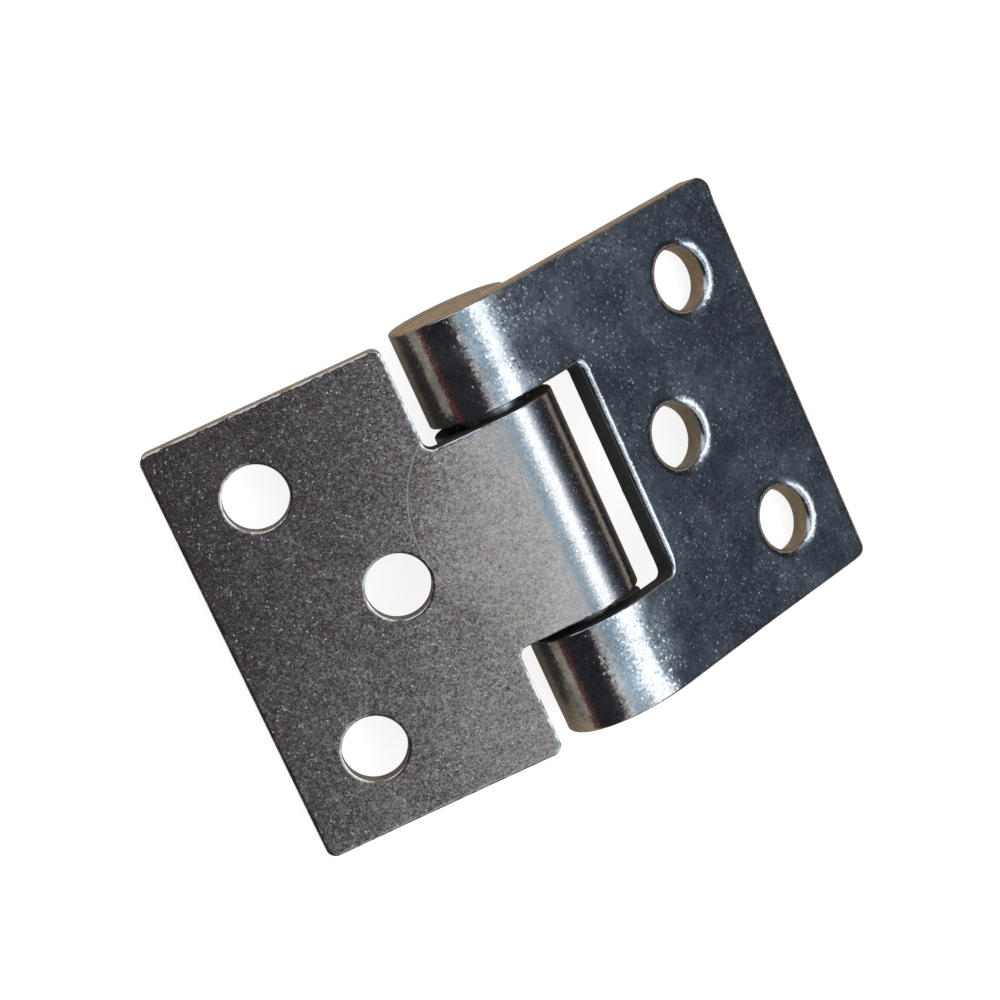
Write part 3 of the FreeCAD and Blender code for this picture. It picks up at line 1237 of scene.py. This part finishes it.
    def world(self) -> None:
        """Make the world plain white beyond the floor."""
        world = bpy.data.worlds.new("pale_world")
        world.use_nodes = True
        ground = world.node_tree.nodes["Background"]
        ground.inputs["Color"].default_value = (1.0, 1.0, 1.0, 1.0)
        ground.inputs["Strength"].default_value = 1.0
        bpy.context.scene.world = world

    def build(self) -> None:
        """Set up the whole studio."""
        self.camera()
        self.floor()
        self.tent()
        self.world()
        bpy.context.scene.view_settings.view_transform = "Standard"


SHEARED_WALL = (0.97, 0.85, 0.69)
# Painted shade given to the walls inside the joint
JOINT_SHADE = (0.16, 0.165, 0.15)
CENTRE_ZINC = ZincFinish(
    "centre_leaf_zinc", skin=(0.62, 0.59, 0.565), cool=(0.56, 0.59, 0.625), fleck=(0.80, 0.83, 0.86),
    wall=SHEARED_WALL, joint_shade=JOINT_SHADE,
    rough=0.17, grain=(4600.0, 0.042, 1.3, 0.07, 0.3, 1.0), tone=0.36, mottle=(140.0, 0.4), strokes=0.71,
    scratches=(Scratch((0.0, -3.6), 16.55, 0.15, (-16.9, 4.2)),),
)
OUTER_ZINC = ZincFinish(
    "outer_leaf_zinc", skin=(0.59, 0.59, 0.60), cool=(0.53, 0.58, 0.63), fleck=(0.78, 0.82, 0.86),
    wall=SHEARED_WALL, joint_shade=JOINT_SHADE,
    rough=0.08, grain=(4200.0, 0.055, 1.7, 1.0, 0.25, 1.2), tone=0.45, mottle=(130.0, 1.9), strokes=0.755,
)
PIN_STEEL = ZincFinish(
    "pin_steel", skin=(0.55, 0.53, 0.50), cool=(0.52, 0.53, 0.54), fleck=(0.62, 0.6, 0.57),
    wall=SHEARED_WALL, joint_shade=JOINT_SHADE,
    rough=0.25, grain=(3500.0, 0.03, 1.5, 0.1, 0.1, 3.0), tone=0.3, mottle=(200.0, 0.3), strokes=0.9,
)

CARDS = (
    Card((-28.0, 50.0), (6.0, 8.0), (-62.0, 50.0), 14.0, (0.032, 0.019, 0.020)),
    Card((-18.8, 50.0), (1.3, 10.0), (-62.0, 50.0), 14.0, (0.53, 0.51, 0.50), 0.4),
    Card((-12.5, -5.0), (2.5, 3.0), (-62.0, -9.0), 1.2, (0.92, 0.88, 0.84)),
    Card((-6.0, 46.0), (3.5, 9.0), (-62.0, 50.0), 14.0, (0.40, 0.53, 0.63)),
    Card((48.0, 63.0), (5.0, 4.5), (-30.0, 30.0), 14.0, (0.07, 0.088, 0.115)),
    Card((16.0, 37.5), (9.0, 6.0), (-60.0, 48.0), 12.0, (1.9, 1.95, 2.0)),
    Card((-60.0, 5.0), (6.0, 6.0), (27.0, 60.0), 7.0, (0.85, 0.92, 1.0)),
    Card((-82.5, -78.0), (1.3, 1.3), (-60.0, 60.0), 10.0, (0.26, 0.06, 0.05)),
    Card((-200.0, 200.0), (4.0, 4.0), (70.0, 110.0), 8.0, (0.34, 0.24, 0.14)),
)


def main() -> None:
    """Build the hinge and the studio."""
    logging.basicConfig(level=logging.INFO, format="%(name)s: %(message)s")
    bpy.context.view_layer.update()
    groups = {"grain": grain_group(), "needles": needle_group(), "shear": shear_group()}
    centre = CentreLeaf(
        "centre_knuckle_leaf", "centre_leaf", CENTRE_ZINC, CENTRE_BORE, Turn.HALF_TURN, tilt=17.44121,
        hole_face=EdgeForm(0.2, 0.12, 0.7, 0.3), hole_back=EdgeForm(0.9, 0.9), seed=11,
        settling=(Settling(-2.0, 2.4, 8.0, 4.2, 0.1, 5.0, 24.0),) * 2,
    )
    outer = OuterLeaf(
        "outer_knuckle_leaf", "outer_leaf", OUTER_ZINC, OUTER_BORE, Turn.AS_DRAWN, tilt=17.225165,
        hole_face=EdgeForm(1.45, 0.95), hole_back=EdgeForm(0.14, 0.12, 0.5, 0.3), seed=47,
        settling=(Settling(-4.2, 0.0, 4.4, 13.0, 0.34, 8.5, 20.0), Settling(-3.6, 0.0, 3.4, 6.5, 0.08)),
    )
    pin = Pin("hinge_pin", "outer_leaf", PIN_STEEL)
    for piece in (centre, outer, pin):
        piece.build(piece.finish.make(groups))
    Studio(CARDS).build()


if __name__ == "__main__":
    main()
